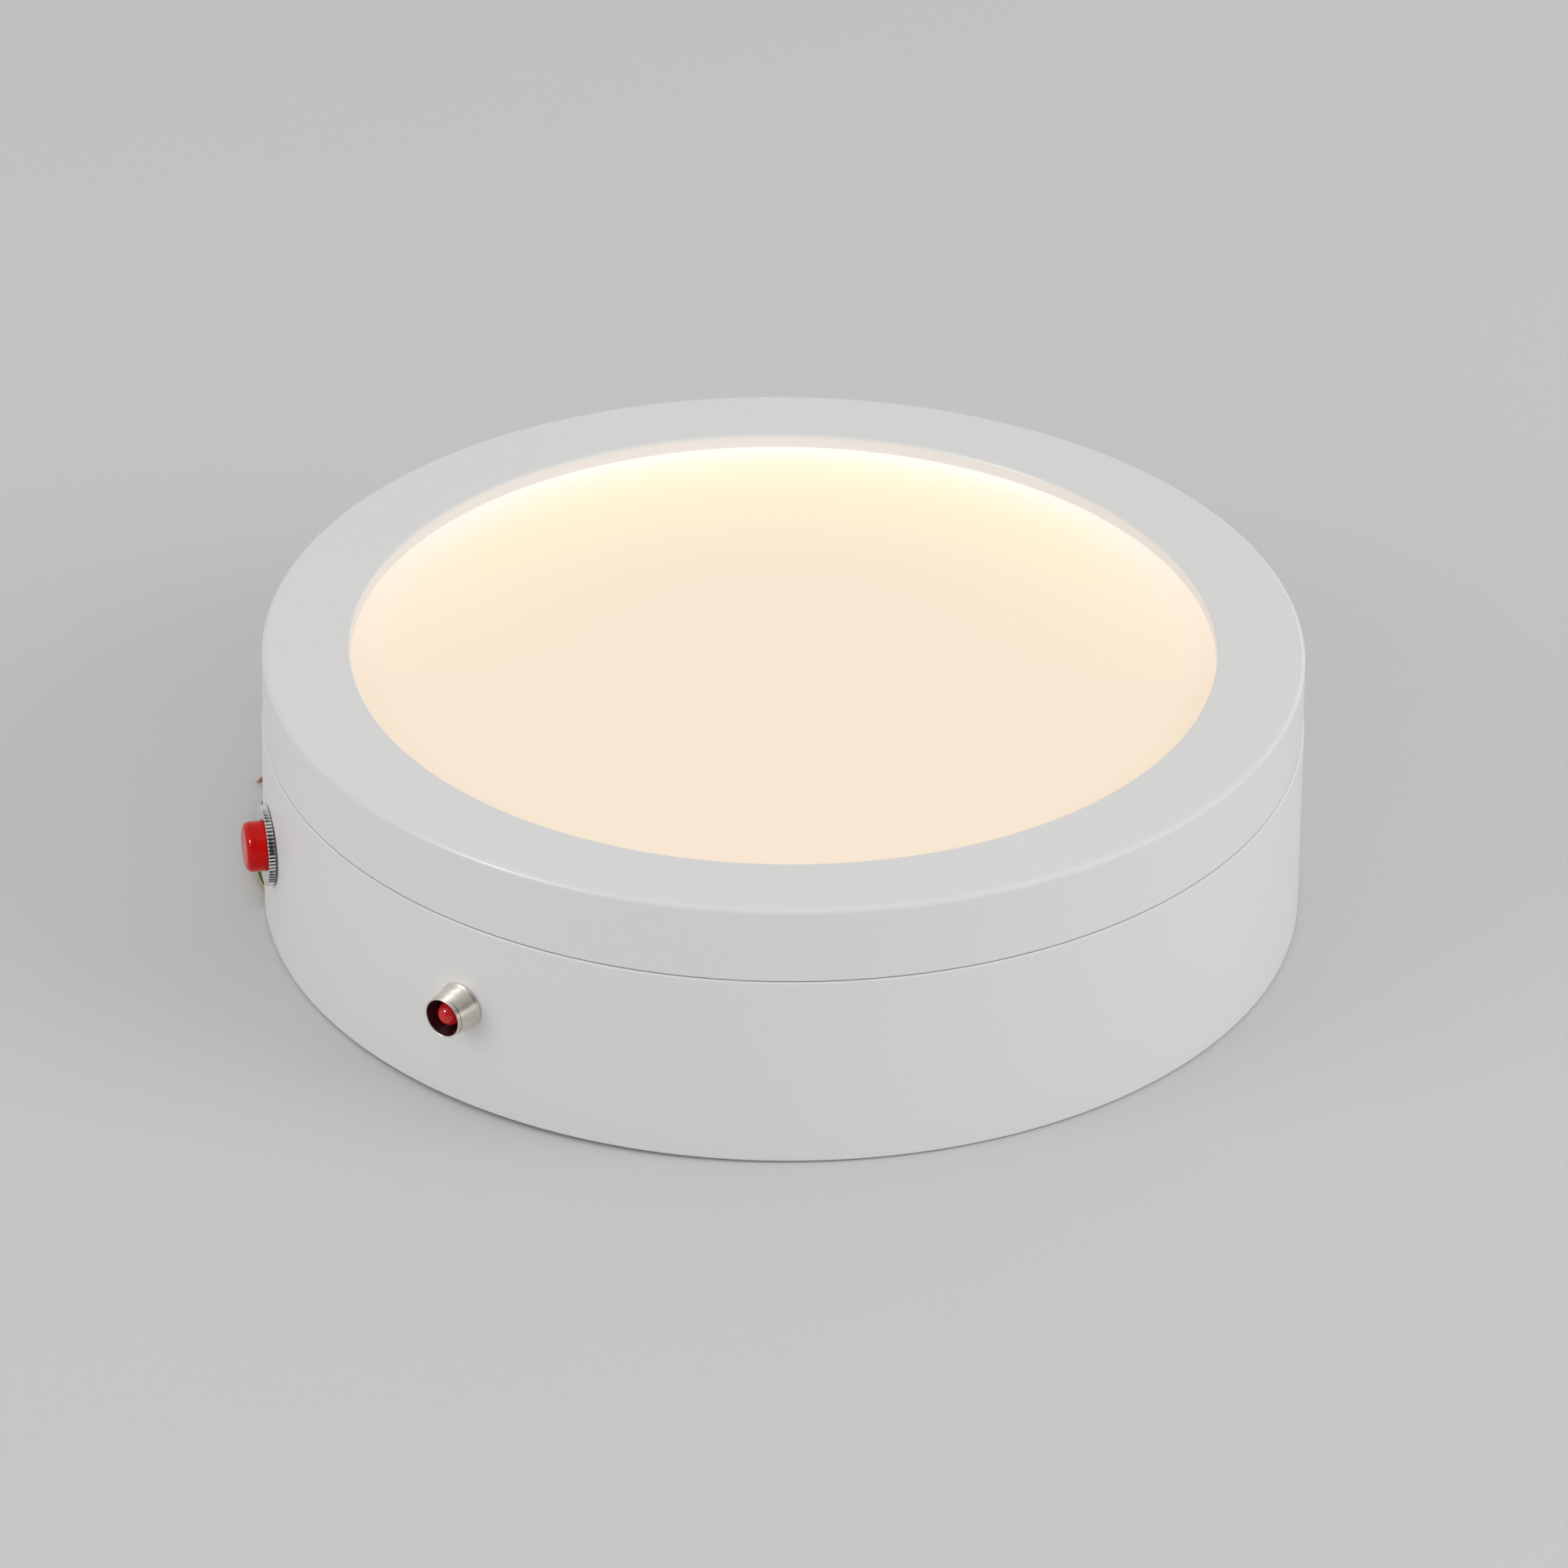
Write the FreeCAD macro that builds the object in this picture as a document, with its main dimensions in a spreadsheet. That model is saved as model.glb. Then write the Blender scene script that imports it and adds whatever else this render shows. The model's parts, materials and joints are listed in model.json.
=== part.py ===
"""Surface-mounted round emergency LED panel light, in millimetres.

The light lies on its back: +Z is the way the light leaves, z = 0 is the plane that the back rim
rests on, and the Z axis is the axis of the round case. -X runs out through the test button.
"""
import FreeCAD, Part
import math
import os
import re
import Sketcher

VECTOR = FreeCAD.Vector
UP = VECTOR(0, 0, 1)

# ---------------------------------------------------------------------------------------------
# Driving dimensions, kept in the sheet.  Lengths are millimetres, angles are degrees.
# ---------------------------------------------------------------------------------------------
SIZES = dict(
    # the round case
    case_radius=112.5, case_height=61.0, seam_height=44.0, seam_gap=0.3, seam_step=0.8,
    rim_radius=112.8, base_radius=113.0, foot_bevel=0.4, housing_wall=1.5, face_thickness=3.0,
    ring_wall=2.2, opening_radius=93.4,
    outer_round=1.2, lip_round=0.8, spigot_depth=5.0, spigot_inner=109.6, spigot_clearance=0.1,
    # the back of the case
    recess_depth=3.5, plate_thickness=1.0, plate_radius=110.9, flange_thickness=1.2,
    flange_inner=101.5, screw_circle=105.5,
    keyhole_reach=60.0, keyhole_head=4.5, keyhole_neck=2.3, keyhole_length=9.0,
    outlet_height=3.4, outlet_length=33.8, outlet_angle=165.15,
    # the optical stack inside the ring
    stack_radius=100.3, stack_rib=1.2, diffuser_radius=100.0, diffuser_thickness=2.0,
    guide_radius=97.6, guide_thickness=3.0, reflector_thickness=0.4, foam_thickness=2.6,
    panel_plate_radius=108.6, strip_inner=98.9, strip_thickness=1.2, strip_width=3.2,
    chip_count=84, chip_width=3.5, chip_height=2.4, chip_depth=0.75,
    # screws and posts
    panel_screw_radius=1.5, panel_screw_head=2.8, panel_screw_start=5.0, panel_boss_radius=3.5,
    post_flats=7.0, post_thread=2.0, post_boss_radius=4.5, post_start=20.0,
    case_screw_head=4.0, case_screw_length=10.0,
    # the test button
    button_height=22.7, button_angle=180.0, bushing_radius=6.0, bushing_bore=5.58,
    cap_radius=5.5, cap_reach=5.6, cap_round=1.5, cap_depth=4.0, button_travel=2.5,
    nut_radius=8.9, nut_thickness=1.5, knurl_count=66, knurl_depth=0.35,
    stem_radius=2.0, stem_clearance=0.06,
    # the charge indicator
    indicator_height=24.0, indicator_angle=221.4, bezel_base=5.2, bezel_mouth=4.4,
    bezel_reach=6.4, bezel_flare=4.1, bezel_throat=3.1, bezel_thread=4.0, lamp_radius=2.5,
    # the leads
    lead_radius=1.0, bare_radius=0.5, bare_length=5.5, inner_wire_radius=0.8,
)

doc = FreeCAD.newDocument("EmergencyPanelLight")
sheet = doc.addObject("Spreadsheet::Sheet", "Sizes")
for row, (alias, value) in enumerate(SIZES.items(), start=1):
    sheet.set("A%d" % row, alias)
    sheet.set("B%d" % row, str(value))
    sheet.setAlias("B%d" % row, alias)
doc.recompute()


class Named:
    """The driving dimensions as plain attributes, for the pieces that are placed by code."""

    def __init__(self, values):
        self.__dict__.update(values)


S = Named(SIZES)
NODES = []          # the finished sub-parts, in the order they are built
FLANGE_TOP = S.recess_depth + S.plate_thickness + S.flange_thickness
PLATE_TOP = S.recess_depth + S.plate_thickness
STACK_TOP = S.case_height - S.face_thickness
GUIDE_TOP = STACK_TOP - S.diffuser_thickness
FOAM_BOTTOM = GUIDE_TOP - S.guide_thickness - S.reflector_thickness - S.foam_thickness
PANEL_PLATE_BOTTOM = FOAM_BOTTOM - S.plate_thickness


# ---------------------------------------------------------------------------------------------
# Helpers
# ---------------------------------------------------------------------------------------------
def cell(text):
    """An expression in which each driving dimension's name refers to its cell of the sheet."""
    return re.sub(r"[a-z_]{4,}", lambda m: "Sizes." + m[0] if m[0] in SIZES else m[0], str(text))


def worth(text):
    """The value of such an expression, in millimetres."""
    sheet.set("D1", "=" + str(text))
    sheet.recompute()
    value = sheet.get("D1")
    return float(getattr(value, "Value", value))


def bind(item, **expressions):
    for name, text in expressions.items():
        item.setExpression(name.replace("__", "."), cell(text))
    return item


def shift(item, x="0", y="0", z="0"):
    return bind(item, Placement__Base__x=x, Placement__Base__y=y, Placement__Base__z=z)


def cylinder(name, radius, low, high, x="0", y="0"):
    item = doc.addObject("Part::Cylinder", name)
    bind(item, Radius=radius, Height="(%s) - (%s)" % (high, low))
    return shift(item, x, y, low)


def box(name, length, width, height, x, y, z):
    """A box whose middle stands at x and y, and whose bottom is at z."""
    item = doc.addObject("Part::Box", name)
    bind(item, Length=length, Width=width, Height=height)
    return shift(item, "(%s) - (%s)/2" % (x, length), "(%s) - (%s)/2" % (y, width), z)


def cone(name, low_radius, high_radius, low, high):
    item = doc.addObject("Part::Cone", name)
    bind(item, Radius1=low_radius, Radius2=high_radius, Height="(%s) - (%s)" % (high, low))
    return shift(item, z=low)


def joined(name, *pieces):
    item = doc.addObject("Part::MultiFuse", name)
    item.Shapes = list(pieces)
    return item


def cut(name, base, tool):
    item = doc.addObject("Part::Cut", name)
    item.Base = base
    item.Tool = tool
    return item


def tube(name, outer, inner, low, high):
    return cut(name, cylinder(name + "_outside", outer, low, high),
               cylinder(name + "_inside", inner, "(%s) - 1" % low, "(%s) + 1" % high))


def node(item, label, placement=None):
    """Finishes a sub-part: its Label is the name of its file."""
    item.Label = label
    if placement is not None:
        item.Placement = placement
    NODES.append(item)
    return item


def solid(label, shape, placement=None):
    """A sub-part whose shape is made directly, placed once its shape is set."""
    item = doc.addObject("Part::Feature", label + "_shape")
    item.Shape = shape
    return node(item, label, placement)


def radial(angle, height, reach):
    """The place of a piece made along Z that points out of the round wall at this angle."""
    turn = math.radians(angle)
    return FreeCAD.Placement(
        VECTOR(reach * math.cos(turn), reach * math.sin(turn), height),
        FreeCAD.Rotation(UP, angle) * FreeCAD.Rotation(VECTOR(0, 1, 0), 90))


def around(count, start):
    return [start + 360.0 * k / count for k in range(count)]


def turned(name, outline, rounds=()):
    """A body turned about Z from an outline of (radius, height) expressions.

    rounds lists (radius, height, size): the edges there are rounded to that size."""
    body = doc.addObject("PartDesign::Body", name)
    sketch = body.newObject("Sketcher::SketchObject", name + "_outline")
    plane = [f for f in body.Origin.OriginFeatures if f.Role == "XZ_Plane"][0]
    sketch.AttachmentSupport = [(plane, "")]
    sketch.MapMode = "FlatFace"
    points = [VECTOR(worth(r), worth(z), 0) for r, z in outline]
    count = len(points)
    for k in range(count):
        sketch.addGeometry(Part.LineSegment(points[k], points[(k + 1) % count]), False)
    for k in range(count):
        sketch.addConstraint(Sketcher.Constraint("Coincident", k, 2, (k + 1) % count, 1))
    for k, (r, z) in enumerate(outline):
        for kind, text, along in (("DistanceX", r, points[k].x), ("DistanceY", z, points[k].y)):
            if abs(along) < 1e-9:
                axis = -2 if kind == "DistanceX" else -1
                sketch.addConstraint(Sketcher.Constraint("PointOnObject", k, 1, axis))
                continue
            first, last = ((-1, 1), (k, 1)) if along > 0 else ((k, 1), (-1, 1))
            number = sketch.addConstraint(Sketcher.Constraint(kind, *first, *last, abs(along)))
            sign = "" if along > 0 else "-"
            sketch.setExpression("Constraints[%d]" % number, "%s(%s)" % (sign, cell(text)))
    turn = body.newObject("PartDesign::Revolution", name + "_turn")
    turn.Profile = sketch
    turn.ReferenceAxis = (sketch, ["V_Axis"])
    turn.Angle = 360
    doc.recompute()
    base = turn
    for number, (r, z, amount) in enumerate(rounds):
        found = ["Edge%d" % (i + 1) for i, e in enumerate(base.Shape.Edges)
                 if is_circle(e, worth(r), worth(z))]
        fillet = body.newObject("PartDesign::Fillet", "%s_round_%d" % (name, number))
        fillet.Base = (base, found)
        fillet.setExpression("Radius", cell(amount))
        doc.recompute()
        base = fillet
    body.Tip = base
    return body


def is_circle(edge, radius, height):
    curve = edge.Curve
    return (isinstance(curve, Part.Circle) and abs(curve.Radius - radius) < 1e-4
            and abs(curve.Center.z - height) < 1e-4)


def arc_tube(label, points, radius):
    """A tube along straight runs that are joined by tangent arcs, one at each inner point.

    Each arc's radius is 0.45 of the shorter run beside it, over the tangent of half the turn."""
    path, radii, start = [], [], VECTOR(*points[0])
    for before, here, after in zip(points, points[1:], points[2:]):
        corner = VECTOR(*here)
        back, on = VECTOR(*before) - corner, VECTOR(*after) - corner
        shorter = min(back.Length, on.Length)
        half_turn = (math.pi - back.getAngle(on)) / 2
        reach = 0.45 * shorter
        radii.append(reach / math.tan(half_turn))
        back.normalize()
        on.normalize()
        first, last = corner + back * reach, corner + on * reach
        inward = (back + on).normalize()
        middle = corner + inward * radii[-1] * (1 / math.cos(half_turn) - 1)
        path += [Part.LineSegment(start, first).toShape(), Part.Arc(first, middle, last).toShape()]
        start = last
    path.append(Part.LineSegment(start, VECTOR(*points[-1])).toShape())
    wire = Part.Wire(path)
    section = Part.Wire(Part.Circle(VECTOR(*points[0]), path[0].tangentAt(0), radius).toShape())
    shape = wire.makePipeShell([section], True, False)
    wanted = math.pi * radius ** 2 * wire.Length
    print("%-22s length %6.1f  smallest radius %5.1f  volume / (section x length) %.4f"
          % (label, wire.Length, min(radii), shape.Volume / wanted))
    return shape


def wires(label, routes, radius):
    """Several insulated wires of one loom, each a tube of its own, in one sub-part."""
    return solid(label, Part.makeCompound([arc_tube(label, r, radius) for r in routes]))


# ---------------------------------------------------------------------------------------------
# The case: front ring, housing, back plate, and what clamps them
# ---------------------------------------------------------------------------------------------
def front_ring():
    ring = turned("ring_casting", [
        ("opening_radius", "case_height - face_thickness"),
        ("opening_radius", "case_height"),
        ("case_radius", "case_height"),
        ("case_radius", "seam_height"),
        ("case_radius - seam_step", "seam_height"),
        ("case_radius - seam_step", "seam_height - seam_gap"),
        ("rim_radius - housing_wall - 2*spigot_clearance", "seam_height - seam_gap"),
        ("rim_radius - housing_wall - 2*spigot_clearance", "seam_height - seam_gap - spigot_depth"),
        ("spigot_inner", "seam_height - seam_gap - spigot_depth"),
        ("spigot_inner", "seam_height + 1.5"),
        ("case_radius - ring_wall", "seam_height + 2.8"),
        ("case_radius - ring_wall", "case_height - face_thickness"),
        ("stack_radius + stack_rib", "case_height - face_thickness"),
        ("stack_radius + stack_rib", "%f + 0.2" % FOAM_BOTTOM),
        ("stack_radius", "%f + 0.2" % FOAM_BOTTOM),
        ("stack_radius", "case_height - face_thickness"),
    ], rounds=[("case_radius", "case_height", "outer_round"),
               ("opening_radius", "case_height", "lip_round")])
    top = "case_height - face_thickness/2"
    bosses, holes = [], []
    for k, (x, y) in enumerate(spots(6, S.panel_screw_start)):
        bosses.append(cylinder("panel_boss_%d" % k, "panel_boss_radius", FOAM_BOTTOM, top, x, y))
        holes.append(cylinder("panel_boss_hole_%d" % k, "panel_screw_radius",
                              "%f - 1" % FOAM_BOTTOM, STACK_TOP - 1, x, y))
    for k, (x, y) in enumerate(spots(4, S.post_start)):
        bosses.append(cylinder("post_boss_%d" % k, "post_boss_radius", FOAM_BOTTOM, top, x, y))
        holes.append(cylinder("post_boss_hole_%d" % k, "post_thread",
                              "%f - 1" % FOAM_BOTTOM, STACK_TOP, x, y))
    node(cut("front_ring_cut", joined("ring_with_bosses", ring, *bosses),
             joined("ring_holes", *holes)), "front_ring")


def spots(count, start, circle="screw_circle"):
    """Expressions for the places of holes that are spaced evenly round a circle."""
    return [("%s*cos(%.4f deg)" % (circle, a), "%s*sin(%.4f deg)" % (circle, a))
            for a in around(count, start)]


def housing():
    wall = "(%s)" % "base_radius - housing_wall"
    can = turned("housing_can", [
        (wall, "0"),
        ("base_radius - foot_bevel", "0"),
        ("base_radius", "foot_bevel"),
        ("rim_radius", "seam_height - 2*seam_gap"),
        ("rim_radius - seam_gap", "seam_height - seam_gap"),
        ("rim_radius - housing_wall - spigot_clearance", "seam_height - seam_gap"),
        (wall, "recess_depth + plate_thickness + flange_thickness"),
        ("flange_inner", "recess_depth + plate_thickness + flange_thickness"),
        ("flange_inner", "recess_depth + plate_thickness"),
        (wall, "recess_depth + plate_thickness"),
    ])
    holes = [cylinder("flange_hole_%d" % k, "post_thread + 0.25", 0, FLANGE_TOP + 1, x, y)
             for k, (x, y) in enumerate(spots(4, S.post_start))]
    for name, radius, angle, height in (
            ("button", "bushing_radius", S.button_angle, S.button_height),
            ("indicator", "bezel_thread", S.indicator_angle, S.indicator_height)):
        hole = doc.addObject("Part::Cylinder", name + "_hole")
        bind(hole, Radius=radius + " + 0.1", Height="24")
        hole.Placement = radial(angle, height, S.case_radius - 12)
        holes.append(hole)
    outlet = doc.addObject("Part::Box", "lead_outlet_slot")
    bind(outlet, Length="8", Width="outlet_length", Height="outlet_height + 1")
    turn = FreeCAD.Rotation(UP, S.outlet_angle)
    corner = turn.multVec(VECTOR(S.base_radius - 5, -S.outlet_length / 2, -1))
    outlet.Placement = FreeCAD.Placement(corner, turn)
    node(cut("housing_cut", can, joined("housing_holes", outlet, *holes)),
         "housing")


def back_plate():
    disc = cylinder("back_disc", "plate_radius", "recess_depth", PLATE_TOP)
    low, high = "recess_depth - 1", PLATE_TOP + 1
    tools = [cylinder("plate_screw_hole_%d" % k, "post_thread + 0.25", low, high, x, y)
             for k, (x, y) in enumerate(spots(4, S.post_start))]
    for side in (-1, 1):
        x, name = "%d*keyhole_reach" % side, "keyhole_%s" % ("left" if side < 0 else "right")
        far = "%d*keyhole_length" % side
        tools.append(cylinder(name + "_head", "keyhole_head", low, high, x))
        tools.append(cylinder(name + "_neck", "keyhole_neck", low, high, x, far))
        tools.append(box(name + "_slot", "2*keyhole_neck", "keyhole_length",
                         S.plate_thickness + 2, x, "(%s)/2" % far, low))
    tools.append(cylinder("wire_hole", WIRE_HOLE_RADIUS, low, high, *WIRE_HOLE))
    tools += [cylinder("module_hole_%d" % k, "panel_screw_radius", low, high, x, y)
              for k, (x, y) in enumerate(MODULE_SCREWS)]
    tools += [cylinder("clamp_hole_%d" % k, CLAMP_SCREW_RADIUS, low, high, p.x, p.y)
              for k, p in enumerate(clamp_screw_places())]
    tools.append(cylinder("earth_hole", "post_thread", low, high, *EARTH))
    node(cut("back_plate_cut", disc, joined("back_plate_holes", *tools)), "back_plate")


def pan_screw(place, head_radius, head_height, shank_radius, shank_length, downwards=False):
    """A pan-head screw whose seat is at place.  Its head is above the seat, or below it."""
    way = -1 if downwards else 1
    head = Part.makeCylinder(head_radius, head_height, place, UP * way)
    rim = [e for e in head.Edges if abs(e.BoundBox.ZMin - place.z - way * head_height) < 1e-6
           and abs(e.BoundBox.ZMax - e.BoundBox.ZMin) < 1e-6]
    head = head.makeFillet(0.3 * head_height, rim)
    shank = Part.makeCylinder(shank_radius, shank_length, place, UP * -way)
    slot = [Part.makeBox(1.3 * head_radius, 0.5, 0.5, VECTOR(-0.65 * head_radius, -0.25, -0.25)),
            Part.makeBox(0.5, 1.3 * head_radius, 0.5, VECTOR(-0.25, -0.65 * head_radius, -0.25))]
    for piece in slot:
        piece.translate(place + UP * way * (head_height - 0.25 + 0.01))
        head = head.cut(piece)
    return head.fuse(shank).removeSplitter()


def on_circle(count, start, height, circle=None):
    reach = circle or S.screw_circle
    return [VECTOR(reach * math.cos(math.radians(a)), reach * math.sin(math.radians(a)), height)
            for a in around(count, start)]


def panel_screws():
    solid("panel_screws", Part.makeCompound([
        pan_screw(p, S.panel_screw_head, 2.0, S.panel_screw_radius, 7.0, downwards=True)
        for p in on_circle(6, S.panel_screw_start, PANEL_PLATE_BOTTOM)]))


def case_screws():
    solid("case_screws", Part.makeCompound([
        pan_screw(p, S.case_screw_head, 2.2, S.post_thread, S.case_screw_length, downwards=True)
        for p in on_circle(4, S.post_start, S.recess_depth)]))


def tie_posts():
    """Hexagonal posts between the flange and the panel, with a stud into the ring's bosses."""
    posts, bottom = [], FLANGE_TOP
    corner = S.post_flats / 2 / math.cos(math.pi / 6)
    for angle, p in zip(around(4, S.post_start), on_circle(4, S.post_start, bottom)):
        ring = [p + VECTOR(corner * math.cos(math.radians(a)), corner * math.sin(math.radians(a)), 0)
                for a in around(6, angle + 30)]
        height = PANEL_PLATE_BOTTOM - bottom
        hexagon = Part.Face(Part.makePolygon(ring + ring[:1])).extrude(UP * height)
        stud = Part.makeCylinder(S.post_thread, S.plate_thickness + 7.0, p + UP * height)
        thread = Part.makeCylinder(S.post_thread, S.case_screw_length + 1.0, p)
        posts.append(hexagon.fuse(stud).cut(thread))
    solid("tie_posts", Part.makeCompound(posts))


# ---------------------------------------------------------------------------------------------
# The optical stack
# ---------------------------------------------------------------------------------------------
def optical_stack():
    low = GUIDE_TOP - S.guide_thickness
    node(cylinder("diffuser_disc", "diffuser_radius", GUIDE_TOP, STACK_TOP), "diffuser")
    node(cylinder("guide_disc", "guide_radius", low, GUIDE_TOP), "light_guide_plate")
    node(cylinder("reflector_disc", "guide_radius", "%f - reflector_thickness" % low, low),
         "reflector_sheet")
    node(cylinder("foam_disc", "guide_radius - 0.6", FOAM_BOTTOM,
                  "%f - reflector_thickness" % low), "foam_pad")
    node(tube("strip_band", "strip_inner + strip_thickness", "strip_inner",
              "%f - strip_width" % GUIDE_TOP, GUIDE_TOP), "led_strip")
    chips = []
    for angle in around(S.chip_count, 0):
        chip = Part.makeBox(S.chip_depth, S.chip_width, S.chip_height,
                            VECTOR(S.strip_inner - S.chip_depth - 0.02, -S.chip_width / 2,
                                   GUIDE_TOP - 0.3 - S.chip_height))
        chip.rotate(VECTOR(), UP, angle)
        chips.append(chip)
    solid("led_chips", Part.makeCompound(chips))
    plate = cylinder("panel_disc", "panel_plate_radius", PANEL_PLATE_BOTTOM, FOAM_BOTTOM)
    low, high = PANEL_PLATE_BOTTOM - 1, FOAM_BOTTOM + 1
    holes = [cylinder("panel_plate_hole_%d" % k, "panel_screw_radius + 0.2", low, high, x, y)
             for k, (x, y) in enumerate(spots(6, S.panel_screw_start))]
    holes += [cylinder("panel_plate_stud_hole_%d" % k, "post_thread + 0.2", low, high, x, y)
              for k, (x, y) in enumerate(spots(4, S.post_start))]
    holes.append(cylinder("panel_wire_hole", 3.0, low, high, *PANEL_WIRE_HOLE))
    node(cut("panel_plate_cut", plate, joined("panel_plate_holes", *holes)), "panel_back_plate")


# ---------------------------------------------------------------------------------------------
# Driver, emergency module, battery, terminals
# ---------------------------------------------------------------------------------------------
DRIVER = VECTOR(10, 56, PLATE_TOP)              # middle of each case's base
DRIVER_SIZE = VECTOR(92, 36, 24)
MODULE = VECTOR(12, -56, PLATE_TOP)
MODULE_SIZE = VECTOR(100, 34, 26)
CASE_WALL = 1.6
TAB_LENGTH, TAB_THICKNESS = 9.0, 2.0
BATTERY_RADIUS, BATTERY_LENGTH = 9.0, 65.0
BATTERY_WRAP = 0.35
TERMINALS = VECTOR(-62, 33, PLATE_TOP)
EARTH = (-84, 22)
WIRE_HOLE = (-95.0, -8.0)
WIRE_HOLE_RADIUS = 3.6
PANEL_WIRE_HOLE = (70, 30)
TABS = [(base + VECTOR(side * (size.x / 2 + TAB_LENGTH / 2), 0, 0))
        for base, size in ((DRIVER, DRIVER_SIZE), (MODULE, MODULE_SIZE)) for side in (-1, 1)]
STRAP_FEET = [VECTOR(0, side * 23.5, PLATE_TOP) for side in (-1, 1)]
MODULE_SCREWS = [(p.x, p.y) for p in TABS + STRAP_FEET]


def electronics_case(name, base, extent):
    """An open tray with a screw tab at each end, its lid, and the circuit board inside."""
    length, width, height = extent
    tray_height = height - 3.0
    tray = Part.makeBox(length, width, tray_height, base - VECTOR(length / 2, width / 2, 0))
    tray = tray.makeFillet(3.0, [e for e in tray.Edges if abs(e.tangentAt(0).z) > 0.9])
    inside = Part.makeBox(length - 2 * CASE_WALL, width - 2 * CASE_WALL, tray_height,
                          base - VECTOR(length / 2 - CASE_WALL, width / 2 - CASE_WALL, -CASE_WALL))
    inside = inside.makeFillet(1.6, [e for e in inside.Edges if abs(e.tangentAt(0).z) > 0.9])
    tray = tray.cut(inside)
    for side in (-1, 1):
        middle = base + VECTOR(side * (length / 2 + TAB_LENGTH / 2), 0, 0)
        tab = Part.makeBox(TAB_LENGTH + 1, 12, TAB_THICKNESS,
                           middle - VECTOR(TAB_LENGTH / 2 + (1 if side > 0 else 0), 6, 0))
        hole = Part.makeCylinder(S.panel_screw_radius + 0.2, 6, middle - UP)
        tray = tray.fuse(tab).cut(hole)
        mouth = Part.makeBox(6, 8, 7, base + VECTOR(side * (length / 2) - 3, -4, tray_height - 7))
        tray = tray.cut(mouth)
    solid(name + "_case", tray.removeSplitter())
    lid = Part.makeBox(length, width, 3.0, base + VECTOR(-length / 2, -width / 2, tray_height))
    lid = lid.makeFillet(3.0, [e for e in lid.Edges if abs(e.tangentAt(0).z) > 0.9])
    top = [e for e in lid.Edges if e.BoundBox.ZMin > base.z + height - 1e-6]
    solid(name + "_lid", lid.makeFillet(1.0, top))
    board = Part.makeBox(length - 2 * CASE_WALL - 1, width - 2 * CASE_WALL - 1, 1.6,
                         base - VECTOR(length / 2 - CASE_WALL - 0.5, width / 2 - CASE_WALL - 0.5,
                                       -CASE_WALL - 2.0))
    solid(name + "_board", board)
    floor = base.z + CASE_WALL + 3.6
    parts = [Part.makeBox(18, 16, 12, VECTOR(base.x - 12, base.y - 8, floor)),
             Part.makeCylinder(5.0, 14, VECTOR(base.x + 22, base.y - 4, floor)),
             Part.makeCylinder(4.0, 12, VECTOR(base.x - 26, base.y + 5, floor)),
             Part.makeBox(4, 14, 8, VECTOR(base.x + 32, base.y - 4, floor)),
             Part.makeCylinder(2.5, 9, VECTOR(base.x + 12, base.y + 9, floor))]
    solid(name + "_components", Part.makeCompound(parts))


def module_screws():
    screws = [pan_screw(p + UP * TAB_THICKNESS, 2.7, 1.8, S.panel_screw_radius,
                        TAB_THICKNESS + S.plate_thickness) for p in TABS]
    screws += [pan_screw(p + UP * 1.0, 2.7, 1.8, S.panel_screw_radius, 1.0 + S.plate_thickness)
               for p in STRAP_FEET]
    solid("module_screws", Part.makeCompound(screws))


def battery():
    along, cells, wraps = VECTOR(1, 0, 0), [], []
    outer = BATTERY_RADIUS + BATTERY_WRAP
    for side in (-1, 1):
        end = VECTOR(-BATTERY_LENGTH / 2, side * (outer + 0.1), PLATE_TOP + outer + 0.05)
        cells.append(Part.makeCylinder(BATTERY_RADIUS, BATTERY_LENGTH, end, along))
        wraps.append(Part.makeCylinder(outer, BATTERY_LENGTH - 1.0, end + along * 0.5, along)
                     .cut(Part.makeCylinder(BATTERY_RADIUS, BATTERY_LENGTH, end, along)))
    solid("battery_cells", Part.makeCompound(cells))
    solid("battery_wraps", Part.makeCompound(wraps))
    width, height, gauge, strap = 2 * (2 * outer + 0.1) + 0.6, 2 * outer + 0.4, 1.0, 12.0
    low = PLATE_TOP
    shell = Part.makeBox(strap, width + 2 * gauge, height + gauge,
                         VECTOR(-strap / 2, -width / 2 - gauge, low))
    shell = shell.cut(Part.makeBox(strap, width, height, VECTOR(-strap / 2, -width / 2, low)))
    for foot in STRAP_FEET:
        side = 1 if foot.y > 0 else -1
        near = min(side * width / 2, side * (width / 2 + 8))
        shell = shell.fuse(Part.makeBox(strap, 8, gauge, VECTOR(-strap / 2, near, low)))
        shell = shell.cut(Part.makeCylinder(S.panel_screw_radius + 0.2, 6, foot - UP * 2))
    solid("battery_strap", shell.removeSplitter())


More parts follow.
